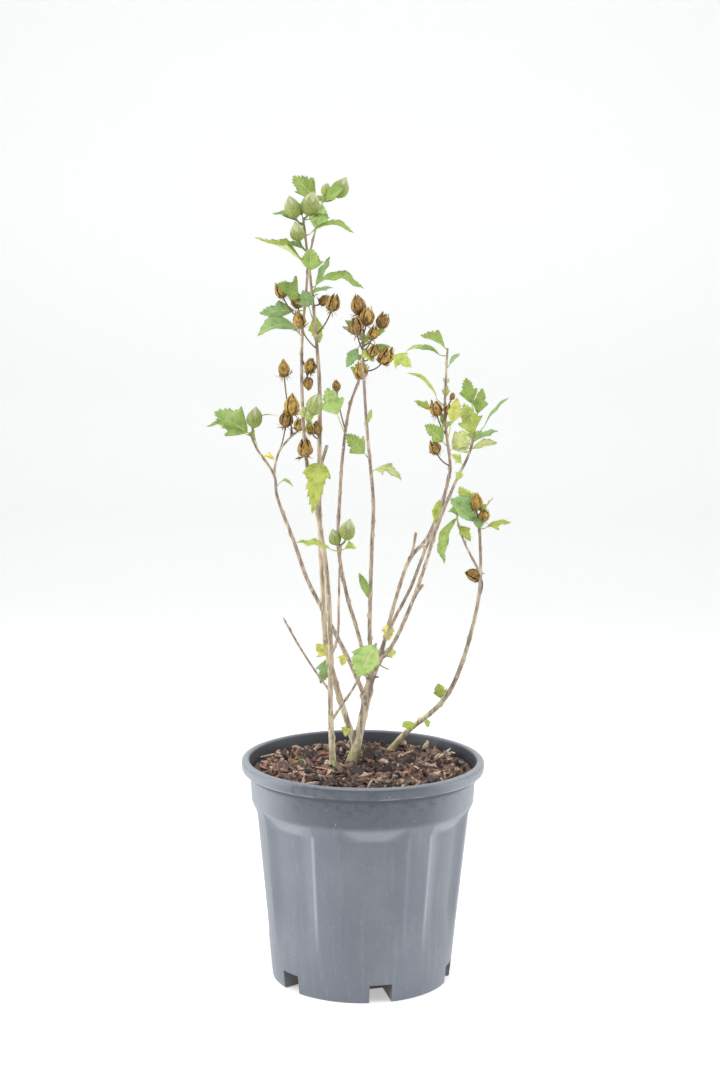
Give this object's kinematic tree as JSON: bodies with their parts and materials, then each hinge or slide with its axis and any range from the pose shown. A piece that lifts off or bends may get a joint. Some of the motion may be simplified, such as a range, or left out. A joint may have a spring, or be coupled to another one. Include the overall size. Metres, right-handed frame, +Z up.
{
  "type": "potted rose of sharon",
  "caption": "Young rose of sharon shrub with several upright stems, lobed leaves, buds and open seed capsules, standing in a fluted round plastic nursery pot topped with bark mulch.",
  "frame": {"origin": "centre of the pot's flat underside, on the ground", "axes": "+Z up along the pot's axis; -Y is the plant's best side, the front; +X to the right seen from the front"},
  "size_m": [0.3151, 0.2519, 0.829],
  "materials": {
    "pot": "smooth moulded blue-grey plastic with a soft sheen and faint water marks",
    "mulch": "rough dark brown bark chips, with paler splinters",
    "bark": "dull taupe brown-grey bark with pale leaf scars, greyer and greener at the foot",
    "foliage": "soft mid green leaves, some yellowing, with pale green buds and dry golden brown capsules"
  },
  "bodies": {
    "root": {"arching_capsule": "foliage", "arching_crown": "foliage", "arching_foot_leaf": "foliage", "arching_foot_small_leaf": "foliage", "arching_low_leaf": "foliage", "arching_side_crown": "foliage", "arching_side_twig": "bark", "arching_stem_high": "bark", "arching_stem_low": "bark", "bare_twig": "bark", "bud_crown": "foliage", "bud_twig": "bark", "centre_bough": "bark", "centre_crown": "foliage", "centre_high_leaf": "foliage", "centre_left_bough": "bark", "centre_left_crown": "foliage", "centre_left_leaf": "foliage", "centre_low_leaf": "foliage", "centre_right_leaf": "foliage", "foot_leaf": "foliage", "front_crown": "foliage", "front_stem": "bark", "leaf_twig": "bark", "leaf_twig_leaf": "foliage", "left_bough": "bark", "left_bough_crown": "foliage", "left_bough_leaf": "foliage", "left_crown": "foliage", "left_stem": "bark", "low_left_leaf": "foliage", "low_left_small_leaf": "foliage", "mulch": "mulch", "pot": "pot", "right_bough": "bark", "right_crown": "foliage", "right_low_leaf": "foliage", "right_middle_bough": "bark", "right_outer_bough": "bark", "right_outer_crown": "foliage", "right_yellow_leaf": "foliage", "trunk": "bark", "trunk_right_leaf": "foliage", "withered_leaf": "foliage"}
  },
  "joints": []
}
